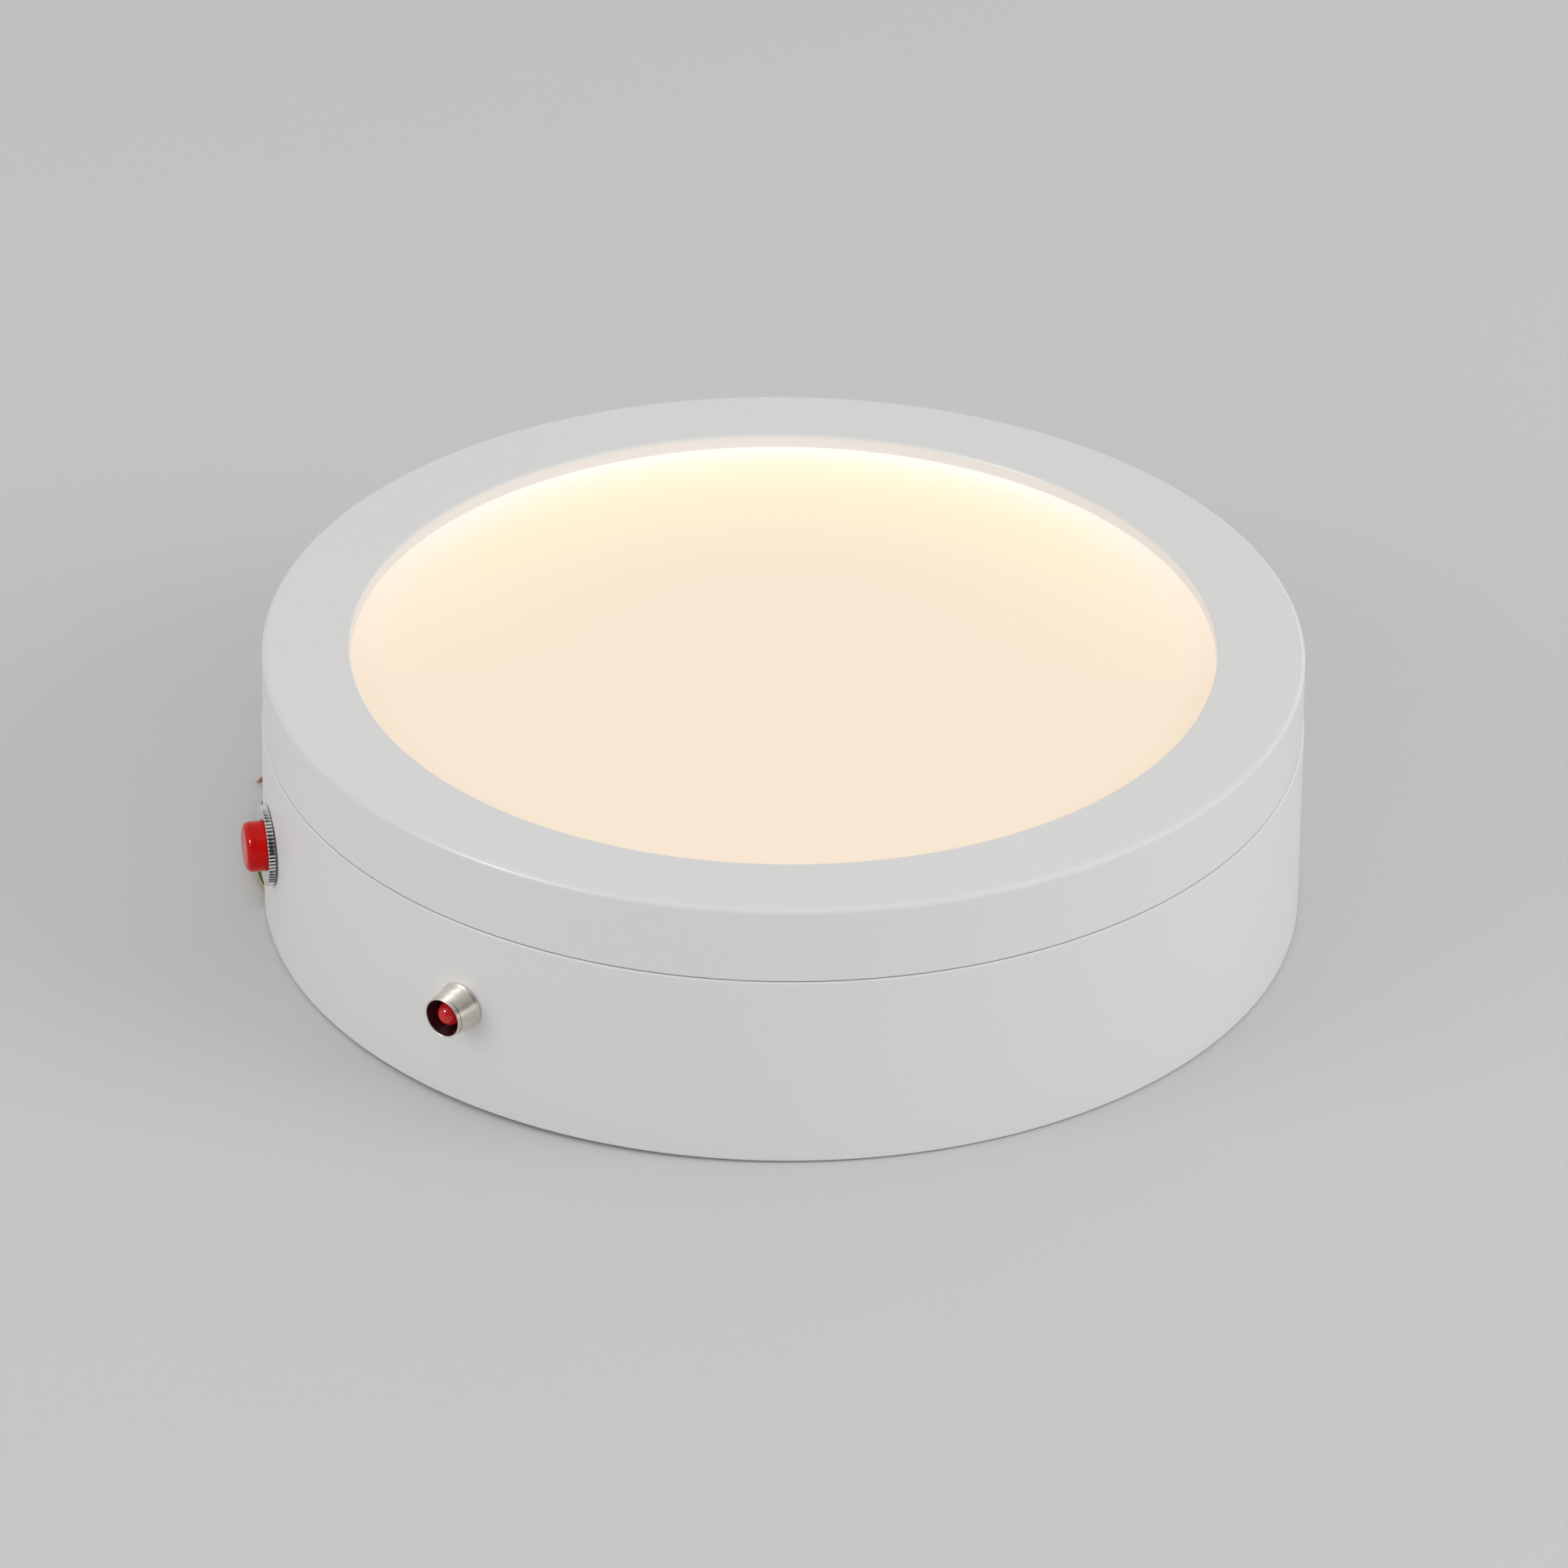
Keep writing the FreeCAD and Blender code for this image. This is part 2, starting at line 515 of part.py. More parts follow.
def terminals():
    width, poles, pitch = 16.0, 3, 8.0
    body = Part.makeBox(width, poles * pitch, 13, TERMINALS - VECTOR(width / 2, poles * pitch / 2, 0))
    body = body.makeChamfer(1.0, [e for e in body.Edges if e.BoundBox.ZMin > TERMINALS.z + 12])
    inserts, screws = [], []
    for k in range(poles):
        y = TERMINALS.y + (k - 1) * pitch
        socket = Part.makeCylinder(2.2, width, VECTOR(TERMINALS.x - width / 2, y, TERMINALS.z + 6),
                                   VECTOR(1, 0, 0))
        body = body.cut(socket)
        insert = socket.cut(Part.makeCylinder(1.2, width, VECTOR(TERMINALS.x - width / 2, y,
                                                                 TERMINALS.z + 6), VECTOR(1, 0, 0)))
        for side in (-1, 1):
            well = VECTOR(TERMINALS.x + side * 4.0, y, TERMINALS.z + 7)
            body = body.cut(Part.makeCylinder(1.6, 8, well))
            insert = insert.cut(Part.makeCylinder(1.6, 8, well))
            screws.append(Part.makeCylinder(1.55, 4.5, well + UP * 0.6))
        inserts.append(insert)
    solid("terminal_block", body)
    solid("terminal_inserts", Part.makeCompound(inserts))
    solid("terminal_screws", Part.makeCompound(screws))


def earth_stud():
    seat = VECTOR(EARTH[0], EARTH[1], PLATE_TOP)
    tag = Part.makeCylinder(4.0, 0.8, seat).fuse(
        Part.makeBox(3, 9, 0.8, seat - VECTOR(1.5, 11, 0))).cut(Part.makeCylinder(2.1, 3, seat - UP))
    solid("earth_tag", tag)
    solid("earth_screw", pan_screw(seat + UP * 0.8, 3.6, 2.2, S.post_thread,
                                   0.8 + S.plate_thickness))


# ---------------------------------------------------------------------------------------------
# The test button.  Each piece is made along Z, with z = 0 on the outside of the housing wall.
# ---------------------------------------------------------------------------------------------
def wall_reach(height):
    """The housing wall's outside radius at this height."""
    top = S.seam_height - 2 * S.seam_gap
    return S.base_radius + (S.rim_radius - S.base_radius) * height / top


AT_BUTTON = radial(S.button_angle, S.button_height, wall_reach(S.button_height))
AT_INDICATOR = radial(S.indicator_angle, S.indicator_height, wall_reach(S.indicator_height))
GUIDE_FRONT, GUIDE_BACK = -10.5, -13.0      # the wall inside the bushing that guides the stem
SWITCH_BACK = -28.0
CONTACT_REST = -18.6                        # the moving contact's face towards the fixed ones
LAMP_SHOULDER = 3.8                         # where the indicator lamp's dome starts


def test_button():
    cap = turned("cap_turned", [("0", "-cap_depth"), ("cap_radius", "-cap_depth"),
                                ("cap_radius", "cap_reach"), ("0", "cap_reach")],
                 rounds=[("cap_radius", "cap_reach", "cap_round")])
    node(cap, "test_button_cap", AT_BUTTON)
    stem = cylinder("stem_rod", "stem_radius", "-20", "-cap_depth")
    stop = cylinder("stem_stop", "stem_radius + 0.8", GUIDE_BACK - 0.85, GUIDE_BACK - 0.05)
    collar = cylinder("stem_collar", "stem_radius + 0.8", CONTACT_REST + 0.6, CONTACT_REST + 1.4)
    node(joined("stem_joined", stem, stop, collar), "test_button_stem", AT_BUTTON)
    contact = tube("contact_disc", "4.6", "stem_radius", CONTACT_REST, CONTACT_REST + 0.6)
    node(contact, "moving_contact", AT_BUTTON)
    bushing = turned("bushing_turned", [
        ("bushing_bore", "0.9"), ("bushing_radius", "0.9"), ("bushing_radius", GUIDE_BACK + 2),
        ("7.8", GUIDE_BACK + 2), ("7.8", GUIDE_BACK), ("stem_radius + stem_clearance", GUIDE_BACK),
        ("stem_radius + stem_clearance", GUIDE_FRONT), ("bushing_bore", GUIDE_FRONT)])
    node(bushing, "switch_bushing", AT_BUTTON)
    body = turned("switch_cup", [
        ("6.2", GUIDE_BACK), ("8.0", GUIDE_BACK), ("8.0", SWITCH_BACK), ("0", SWITCH_BACK),
        ("0", SWITCH_BACK + 2.5), ("6.2", SWITCH_BACK + 2.5)])
    slots = [cylinder("terminal_slot_%d" % k, "1.1", SWITCH_BACK - 1, SWITCH_BACK + 4, x)
             for k, x in enumerate(("-3.2", "3.2"))]
    node(cut("switch_body_cut", body, joined("switch_slots", *slots)), "switch_body", AT_BUTTON)
    fixed = []
    for x in (-3.2, 3.2):
        post = Part.makeCylinder(1.1, CONTACT_REST - S.button_travel - SWITCH_BACK - 0.05,
                                 VECTOR(x, 0, SWITCH_BACK))
        lug = Part.makeBox(0.6, 2.0, 6.0, VECTOR(x - 0.3, -1.0, SWITCH_BACK - 6.0))
        fixed.append(post.fuse(lug))
    solid("switch_terminals", Part.makeCompound(fixed), AT_BUTTON)
    solid("button_spring", coil_spring(3.6, 0.35, GUIDE_FRONT + 0.5, -S.cap_depth - 0.5, 4),
          AT_BUTTON)
    node(tube("washer_ring", "8.2", "bushing_radius + 0.1", "-2.5", "-1.9"), "switch_washer",
         AT_BUTTON)
    solid("switch_nut", hexagon_nut(14.0, S.bushing_radius, -5.5, -2.5), AT_BUTTON)
    solid("knurled_nut", knurled_nut(), AT_BUTTON)


def hexagon_nut(flats, bore, low, high):
    corner = flats / 2 / math.cos(math.pi / 6)
    ring = [VECTOR(corner * math.cos(math.radians(a)), corner * math.sin(math.radians(a)), low)
            for a in around(6, 0)]
    nut = Part.Face(Part.makePolygon(ring + ring[:1])).extrude(UP * (high - low))
    return nut.cut(Part.makeCylinder(bore, high - low + 2, VECTOR(0, 0, low - 1)))


def knurled_nut():
    """A ring nut with a straight-knurled rim and a shallow dish in its front face."""
    back, front, pitch = 0.1, 0.1 + S.nut_thickness, 360.0 / S.knurl_count
    rim = []
    for k in range(S.knurl_count):
        for share, reach in ((0.0, S.nut_radius), (0.3, S.nut_radius),
                             (0.65, S.nut_radius - S.knurl_depth)):
            turn = math.radians((k + share) * pitch)
            rim.append(VECTOR(reach * math.cos(turn), reach * math.sin(turn), back))
    nut = Part.Face(Part.makePolygon(rim + rim[:1])).extrude(UP * S.nut_thickness)
    middle = Part.makeCylinder(S.nut_radius + 0.15, S.nut_thickness - 0.65, VECTOR(0, 0, back + 0.25))
    envelope = Part.makeCone(S.nut_radius - 0.15, S.nut_radius + 0.1, 0.25, VECTOR(0, 0, back)).fuse(
        [middle, Part.makeCone(S.nut_radius + 0.15, S.nut_radius - 0.25, 0.4,
                               VECTOR(0, 0, front - 0.4))])
    nut = nut.common(envelope)
    dish = Part.makeCone(S.bushing_radius + 0.6, S.nut_radius - 0.6, 0.3, VECTOR(0, 0, front - 0.3))
    bore = Part.makeCylinder(S.bushing_radius, 4, VECTOR(0, 0, -1))
    return nut.cut(dish).cut(bore)


def coil_spring(mean_radius, wire_radius, low, high, turns):
    """A compression spring: a helix of round wire, cut flat at neither end."""
    helix = Part.makeHelix((high - low) / turns, high - low, mean_radius)
    helix.translate(VECTOR(0, 0, low))
    start = VECTOR(mean_radius, 0, low)
    pitch_angle = math.atan2((high - low) / turns, 2 * math.pi * mean_radius)
    way = VECTOR(0, math.cos(pitch_angle), math.sin(pitch_angle))
    section = Part.Wire(Part.Circle(start, way, wire_radius).toShape())
    return Part.Wire(helix.Edges).makePipeShell([section], True, True)


# ---------------------------------------------------------------------------------------------
# The charge indicator, made the same way
# ---------------------------------------------------------------------------------------------
def indicator():
    bore = "lamp_radius + 0.15"
    bezel = turned("bezel_turned", [
        ("bezel_throat", "-12"), ("bezel_thread", "-12"), ("bezel_thread", "0.1"),
        ("bezel_base", "0.1"), ("bezel_base", "0.5"), ("bezel_base - 0.2", "0.8"),
        ("bezel_mouth + 0.12", "bezel_reach - 1.0"), ("bezel_mouth - 0.1", "bezel_reach - 1.0"),
        ("bezel_mouth - 0.1", "bezel_reach - 0.7"), ("bezel_mouth + 0.08", "bezel_reach - 0.7"),
        ("bezel_mouth", "bezel_reach"), ("bezel_flare", "bezel_reach"), ("bezel_throat", "3.5"),
        (bore, "3.5"), (bore, "-1.5"), ("bezel_throat", "-1.5")])
    node(bezel, "indicator_bezel", AT_INDICATOR)
    lamp = cylinder("lamp_body", "lamp_radius", "-2.6", LAMP_SHOULDER)
    dome = doc.addObject("Part::Sphere", "lamp_dome")
    bind(dome, Radius="lamp_radius")
    shift(dome, z=LAMP_SHOULDER)
    flange = cylinder("lamp_flange", "lamp_radius + 0.4", "-2.6", "-1.6")
    legs = [box("lamp_leg_%d" % k, "0.5", "0.5", "12.5", x, "0", "-15")
            for k, x in enumerate(("-1.27", "1.27"))]
    node(joined("lamp_joined", lamp, dome, flange, *legs), "indicator_led", AT_INDICATOR)
    sleeve = cylinder("sleeve_rod", "bezel_throat - 0.05", "-11.5", "-2.7")
    slots = [cylinder("sleeve_slot_%d" % k, "0.45", "-12", "-2.5", x)
             for k, x in enumerate(("-1.27", "1.27"))]
    node(cut("sleeve_cut", sleeve, joined("sleeve_slots", *slots)), "indicator_sleeve",
         AT_INDICATOR)
    node(tube("indicator_washer_ring", "6.4", "bezel_thread + 0.1", "-2.4", "-1.85"),
         "indicator_washer", AT_INDICATOR)
    solid("indicator_nut", hexagon_nut(11.0, S.bezel_thread, -4.6, -2.4), AT_INDICATOR)


# ---------------------------------------------------------------------------------------------
# The mains leads, the clamp that they come out of, and the wiring inside
# ---------------------------------------------------------------------------------------------
CLAMP_FACE = VECTOR(-104.4, 9.9, 0)             # where the middle lead leaves the clamp
CLAMP_TURN = 117.5                              # the way the leads leave, from +X
CLAMP_LOW, LEAD_PITCH = 0.7, 2.8
CLAMP_SCREW_RADIUS = 1.25

# The leads' routes, point by point: out of the clamp, through the slot in the rim, round the case.
LEAD_EARTH = [
    (-106.9, 8.6, 1.9), (-108.7, 13.0, 1.7), (-110.5, 18.4, 1.4), (-111.0, 24.9, 2.5),
    (-110.2, 32.4, 3.4), (-108.2, 41.0, 3.6), (-104.6, 51.0, 3.5), (-98.6, 61.6, 3.6),
    (-91.0, 72.5, 3.5), (-82.2, 83.6, 3.1), (-72.0, 93.8, 1.6), (-60.8, 102.0, 1.1),
    (-51.2, 110.4, 1.2), (-43.6, 119.4, 1.1), (-34.0, 126.0, 1.1)]
LEAD_LINE = [
    (-104.4, 9.9, 1.9), (-107.0, 15.2, 1.6), (-108.3, 21.2, 1.2), (-109.2, 29.3, 1.1),
    (-109.4, 38.9, 1.2), (-106.9, 50.2, 1.1), (-101.7, 61.4, 1.2), (-92.6, 71.6, 1.1),
    (-84.6, 82.3, 1.2), (-79.9, 94.3, 1.1), (-79.2, 103.4, 1.2), (-82.8, 108.0, 1.1),
    (-88.4, 108.7, 1.2), (-93.0, 105.2, 1.1), (-94.8, 96.1, 1.2), (-96.2, 86.1, 1.1),
    (-98.0, 75.2, 1.2), (-99.4, 70.1, 1.1), (-102.0, 67.2, 1.1)]
LEAD_NEUTRAL = [
    (-101.9, 11.2, 1.9), (-104.5, 16.5, 1.6), (-105.8, 23.9, 1.2), (-106.8, 33.1, 1.1),
    (-106.1, 43.9, 1.2), (-101.3, 55.2, 1.1), (-94.0, 66.7, 1.2), (-85.0, 78.1, 1.1),
    (-74.2, 88.6, 1.2), (-62.4, 97.6, 1.1), (-49.9, 105.0, 1.2), (-37.5, 111.0, 1.1),
    (-26.6, 116.6, 1.2), (-15.0, 120.6, 1.1)]


def clamp_screw_places():
    turn = FreeCAD.Rotation(UP, CLAMP_TURN)
    return [CLAMP_FACE + turn.multVec(VECTOR(-15.5, side * 6.8, 0)) for side in (-1, 1)]


def lead_clamp():
    """A moulded clamp under the back plate: a narrow nose that the leads leave, and a broad foot."""
    turn, height = FreeCAD.Rotation(UP, CLAMP_TURN), S.recess_depth - CLAMP_LOW
    nose = Part.makeBox(11.3, 9.0, height, VECTOR(-11.5, -4.5, CLAMP_LOW))
    foot = Part.makeBox(11.0, 20.0, height, VECTOR(-22.0, -10.0, CLAMP_LOW))
    foot = foot.makeFillet(2.0, [e for e in foot.Edges if abs(e.tangentAt(0).z) > 0.9])
    body = nose.fuse(foot).removeSplitter()
    body.Placement = FreeCAD.Placement(CLAMP_FACE, turn)
    screws = []
    for place in clamp_screw_places():
        seat = VECTOR(place.x, place.y, CLAMP_LOW)
        body = body.cut(Part.makeCylinder(CLAMP_SCREW_RADIUS + 0.15, 6, seat - UP))
        body = body.cut(Part.makeCylinder(2.4, 2.3, seat - UP))
        screws.append(pan_screw(seat + UP * 1.3, 2.3, 1.1, CLAMP_SCREW_RADIUS,
                                PLATE_TOP - CLAMP_LOW - 1.3, downwards=True))
    solid("lead_clamp", body)
    solid("clamp_screws", Part.makeCompound(screws))


def mains_leads():
    for label, route in (("lead_earth", LEAD_EARTH), ("lead_line", LEAD_LINE),
                         ("lead_neutral", LEAD_NEUTRAL)):
        solid(label, arc_tube(label, route, S.lead_radius))
        end, way = VECTOR(*route[-1]), VECTOR(*route[-1]) - VECTOR(*route[-2])
        solid(label + "_strands", Part.makeCylinder(S.bare_radius, S.bare_length, end, way))


def inner_wiring():
    x, y = WIRE_HOLE
    in_x, in_z = TERMINALS.x - 8.0, TERMINALS.z + 6.0
    mains = [[(x + dx, y + dy, S.recess_depth), (x + dx, y + dy, 9.0),
              (x + dx + 7.0, y + dy + 12.0, 13.5),
              (in_x - 11.0, TERMINALS.y + k * 8.0 - 10.0, in_z + 2.0),
              (in_x, TERMINALS.y + k * 8.0, in_z)]
             for k, dx, dy in ((0, 1.5, 1.6), (1, -1.6, 1.2))]
    tag_end = VECTOR(EARTH[0], EARTH[1] - 11.0, PLATE_TOP + 0.8 + S.inner_wire_radius)
    mains.append([(x, y - 1.9, S.recess_depth), (x, y - 1.9, 8.0), (x + 7.0, y + 8.0, 8.5),
                  tuple(tag_end)])
    wires("mains_wires", mains, S.inner_wire_radius)
    out_x = TERMINALS.x + 8.0
    left = DRIVER.x - DRIVER_SIZE.x / 2 - 4.0
    wires("driver_input_wires", [
        [(out_x, TERMINALS.y + k * 8.0, in_z), (out_x + 6.0, TERMINALS.y + k * 8.0, in_z),
         (left - 3.0, DRIVER.y - 6.0 + k * 2.0, 22.0), (left + 6.0, DRIVER.y + k * 2.0, 23.0)]
        for k in (0, 1)], S.inner_wire_radius)
    button_x = -wall_reach(S.button_height) - SWITCH_BACK + 6.0
    wires("switch_wires", [
        [(button_x, s * 3.2, S.button_height), (button_x + 8.0, s * 3.0, S.button_height),
         (-58.0, -14.0 + s * 2.0, 26.0), (-50.0, -38.0 + s * 2.0, 27.0),
         (MODULE.x - MODULE_SIZE.x / 2, MODULE.y + s * 1.5, 25.0)] for s in (-1, 1)],
        S.inner_wire_radius)
    turn = math.radians(S.indicator_angle)
    reach = wall_reach(S.indicator_height) - 15.0
    tail = VECTOR(reach * math.cos(turn), reach * math.sin(turn), S.indicator_height)
    side = VECTOR(-math.sin(turn), math.cos(turn), 0) * 1.27
    inward = VECTOR(-math.cos(turn), -math.sin(turn), 0)
    routes = []
    for s in (-1, 1):
        start = tail + side * s
        first = start + inward * 7.0
        routes.append([tuple(start), tuple(first),
                       (MODULE.x - MODULE_SIZE.x / 2 - 9.0, MODULE.y + 6.0 - s * 1.5, 21.0 - s * 1.2),
                       (MODULE.x - MODULE_SIZE.x / 2 - 0.5, MODULE.y + 1.5 - s * 1.5,
                        20.5 - s * 1.2)])
    wires("indicator_wires", routes, 0.6)
    right = DRIVER.x + DRIVER_SIZE.x / 2
    px, py = PANEL_WIRE_HOLE
    wires("panel_wires", [
        [(right + 1.0, DRIVER.y - 2.0 * k, 23.0), (right + 7.0, DRIVER.y - 4.0 - 2.0 * k, 24.0),
         (px + 1.0 - 2.0 * k, py + 4.0 + k, 36.0), (px + 1.0 - 2.0 * k, py, PANEL_PLATE_BOTTOM)]
        for k in (0, 1)], S.inner_wire_radius)
    cell_end = BATTERY_LENGTH / 2
    wires("battery_wires", [
        [(cell_end + 0.05, s * 9.4, 13.9), (cell_end + 8.0, s * 9.4, 13.9),
         (cell_end + 20.0, -16.0 + s * 2.0, 20.0), (68.0 + s * 1.5, -36.0, 24.0),
         (MODULE.x + MODULE_SIZE.x / 2 + 1.0, MODULE.y + s * 2.0, 25.0)] for s in (-1, 1)],
        S.inner_wire_radius)


# ---------------------------------------------------------------------------------------------
# Build, test and write
# ---------------------------------------------------------------------------------------------
front_ring()
optical_stack()
panel_screws()
housing()
back_plate()
tie_posts()
case_screws()
electronics_case("driver", DRIVER, DRIVER_SIZE)
electronics_case("emergency_module", MODULE, MODULE_SIZE)
module_screws()
battery()
terminals()
earth_stud()
test_button()
indicator()
lead_clamp()
mains_leads()
inner_wiring()
doc.recompute()

for item in doc.Objects:
    if "Invalid" in item.State or "Error" in item.State:
        raise SystemExit("%s failed: %s" % (item.Label, item.State))
os.makedirs("parts", exist_ok=True)
for item in NODES:
    if item.Shape.isNull() or not item.Shape.isValid() or not item.Shape.Solids:
        raise SystemExit("%s has no valid solid" % item.Label)
    item.Shape.exportStep("parts/%s.step" % item.Label)
print("%d sub-parts, %d solids" % (len(NODES), sum(len(i.Shape.Solids) for i in NODES)))
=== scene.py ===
"""Looks for the round emergency panel light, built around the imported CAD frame, in metres.

The light lies on its back on a pale table, diffuser up, with its mains leads tucked behind it.
"""

import json
import math

import bmesh
import bpy
from mathutils import Matrix, Vector


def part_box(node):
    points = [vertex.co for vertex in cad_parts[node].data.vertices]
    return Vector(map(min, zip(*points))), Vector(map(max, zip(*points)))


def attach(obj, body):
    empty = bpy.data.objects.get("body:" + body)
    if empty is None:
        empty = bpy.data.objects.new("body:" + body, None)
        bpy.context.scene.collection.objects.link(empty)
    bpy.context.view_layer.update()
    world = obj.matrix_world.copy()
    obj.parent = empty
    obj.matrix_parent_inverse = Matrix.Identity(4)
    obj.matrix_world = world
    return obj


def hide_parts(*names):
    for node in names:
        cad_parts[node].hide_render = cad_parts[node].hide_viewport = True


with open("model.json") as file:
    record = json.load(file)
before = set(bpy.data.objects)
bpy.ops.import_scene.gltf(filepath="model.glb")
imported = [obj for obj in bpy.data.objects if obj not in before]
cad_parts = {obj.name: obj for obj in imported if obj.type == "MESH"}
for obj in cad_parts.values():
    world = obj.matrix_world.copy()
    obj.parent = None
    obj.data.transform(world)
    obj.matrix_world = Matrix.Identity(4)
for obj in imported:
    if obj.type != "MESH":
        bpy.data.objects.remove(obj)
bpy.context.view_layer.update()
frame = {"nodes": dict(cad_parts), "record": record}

MM = 0.001
UP = Vector((0, 0, 1))


# ---------------------------------------------------------------------------------------------
# Where things are, read from the CAD
# ---------------------------------------------------------------------------------------------
ring_low, ring_high = (Vector(c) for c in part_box("front_ring"))
CASE_RADIUS = (ring_high.x - ring_low.x) / 2
CASE_TOP = ring_high.z
SEAM_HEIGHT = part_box("housing")[1][2]


# ---------------------------------------------------------------------------------------------
# Camera, floor and light
# ---------------------------------------------------------------------------------------------
VIEW_TURN, VIEW_FALL, VIEW_ROLL = math.radians(12.4), math.radians(30.42), math.radians(0.65)
VIEW_DISTANCE = 2.0385
AIM_RIGHT, AIM_LOWER = 0.05 * MM, 30.93 * MM
LENS_MM, SENSOR_MM = 217.0, 36.0
WORLD_STRENGTH = 0.655
LIGHT_TARGET = (0, 0, 0.03)
FLOOR_HEIGHT = -0.2 * MM
DIP_DEPTH, DIP_WIDTH = 0.6 * MM, 12.0 * MM
DIP_BEARING, DIP_SPREAD = 30.0, 27.0  # degrees
STUDIO_LIGHTS = [
    # name, bearing and rise in degrees, distance and size in metres, power in watts,
    # whether it lights matt surfaces, whether it shows in shiny ones
    ("light_right", -70.0, 28.0, 2.0, 1.2, 10.0, True, False),
    ("light_left", 60.0, 25.0, 2.0, 1.2, 6.2, True, False),
    ("light_spark", 62.0, 30.0, 2.0, 0.19, 25.0, False, True),
]


def make_camera():
    """A long lens that looks down on the light from beside the table."""
    turn, fall, roll = VIEW_TURN, VIEW_FALL, VIEW_ROLL
    ahead = Vector((math.sin(turn), math.cos(turn), 0))
    right = Vector((math.cos(turn), -math.sin(turn), 0))
    forward = ahead * math.cos(fall) - UP * math.sin(fall)
    lift = ahead * math.sin(fall) + UP * math.cos(fall)
    right, lift = (right * math.cos(roll) + lift * math.sin(roll),
                   lift * math.cos(roll) - right * math.sin(roll))
    aim = Vector((0, 0, CASE_TOP)) + right * AIM_RIGHT - lift * AIM_LOWER
    data = bpy.data.cameras.new("camera")
    data.lens, data.sensor_width = LENS_MM, SENSOR_MM
    data.clip_start, data.clip_end = 0.1, 50.0
    camera = bpy.data.objects.new("camera", data)
    bpy.context.scene.collection.objects.link(camera)
    camera.matrix_world = Matrix.Translation(aim - forward * VIEW_DISTANCE) @ Matrix(
        (right, lift, -forward)).transposed().to_4x4()
    bpy.context.scene.camera = camera


def add_light(name, size, power, place, target):
    """A square white area light at a place, turned to a target."""
    data = bpy.data.lights.new(name, "AREA")
    data.shape, data.size, data.energy = "SQUARE", size, power
    lamp = bpy.data.objects.new(name, data)
    bpy.context.scene.collection.objects.link(lamp)
    lamp.location = place
    lamp.rotation_mode = "QUATERNION"
    lamp.rotation_quaternion = (Vector(target) - Vector(place)).to_track_quat("-Z", "Y")
    return lamp


def toward(bearing, rise, distance):
    """A place seen from the light: the bearing is from its near side, and grows to the left."""
    near = Vector((-math.sin(VIEW_TURN), -math.cos(VIEW_TURN), 0))
    left = Vector((-math.cos(VIEW_TURN), math.sin(VIEW_TURN), 0))
    flat = near * math.cos(math.radians(bearing)) + left * math.sin(math.radians(bearing))
    return (flat * math.cos(math.radians(rise)) + UP * math.sin(math.radians(rise))) * distance


def make_floor():
    """A pale table: its paper lies a hair under the rim, and dips by the rim's near left side."""
    fine_rings = [0.090 + 0.003 * k for k in range(20)]
    rings = [0.0, 0.08, *fine_rings, 0.16, 0.2, 0.6, 1.6, 4.0, 9.0]
    floor = lathe("studio_floor", [(r, 0.0) for r in rings], 180)
    dip = toward(DIP_BEARING, 0.0, 1.0)
    for vertex in floor.data.vertices:
        reach = math.hypot(vertex.co.x, vertex.co.y)
        aside = dip.angle(Vector((vertex.co.x, vertex.co.y, 0))) if reach > 1e-6 else math.pi
        vertex.co.z = FLOOR_HEIGHT - DIP_DEPTH * math.exp(
            -((reach - CASE_RADIUS) / DIP_WIDTH) ** 2 - (math.degrees(aside) / DIP_SPREAD) ** 2)
    floor.data.materials.append(floor_material())


def make_world():
    """Even white light.  Shiny surfaces see the studio in it: bright boxes with a dark gap."""
    world = bpy.data.worlds.new("studio")
    world.use_nodes = True
    tree = world.node_tree

    def step(axis, low, high, value_low, value_high):
        """A ramp between two values along one axis of the direction that a ray goes in."""
        limits = {0: way.outputs[axis], 1: low, 2: high, 3: value_low, 4: value_high}
        return add_node(tree, "ShaderNodeMapRange", limits).outputs[0]

    place = add_node(tree, "ShaderNodeTexCoord").outputs["Generated"]
    way = add_node(tree, "ShaderNodeSeparateXYZ", {0: place})
    # a dim near side, and on the right a bright low box, a dark gap and a bright high box
    near = step("Y", -0.65, -0.45, 0.08, 1.0)
    right = step("X", 0.25, 0.45, 0.0, 1.0)
    low_box = step("Z", 0.30, 0.34, 2.6, 0.02)
    high_box = step("Z", 0.62, 0.70, 0.0, 1.3)
    boxes = add_node(tree, "ShaderNodeMath", {0: low_box, 1: high_box}, operation="MAXIMUM")
    mixed = add_node(tree, "ShaderNodeMix", {0: right, 2: near, 3: boxes.outputs[0]})
    glossy = add_node(tree, "ShaderNodeLightPath").outputs["Is Glossy Ray"]
    seen = add_node(tree, "ShaderNodeMix", {0: glossy, 2: 1.0, 3: mixed.outputs[0]})
    strength = add_node(tree, "ShaderNodeMath", {0: seen.outputs[0], 1: WORLD_STRENGTH},
                        operation="MULTIPLY")
    tree.links.new(strength.outputs[0], tree.nodes["Background"].inputs["Strength"])
    tree.nodes["Background"].inputs["Color"].default_value = (1.0, 1.0, 1.0, 1)
    bpy.context.scene.world = world


def make_studio():
    make_floor()
    make_world()
    for name, bearing, rise, distance, size, power, diffuse, glossy in STUDIO_LIGHTS:
        lamp = add_light(name, size, power, toward(bearing, rise, distance), LIGHT_TARGET)
        lamp.visible_diffuse, lamp.visible_glossy = diffuse, glossy
    bpy.context.scene.view_settings.view_transform = "Standard"


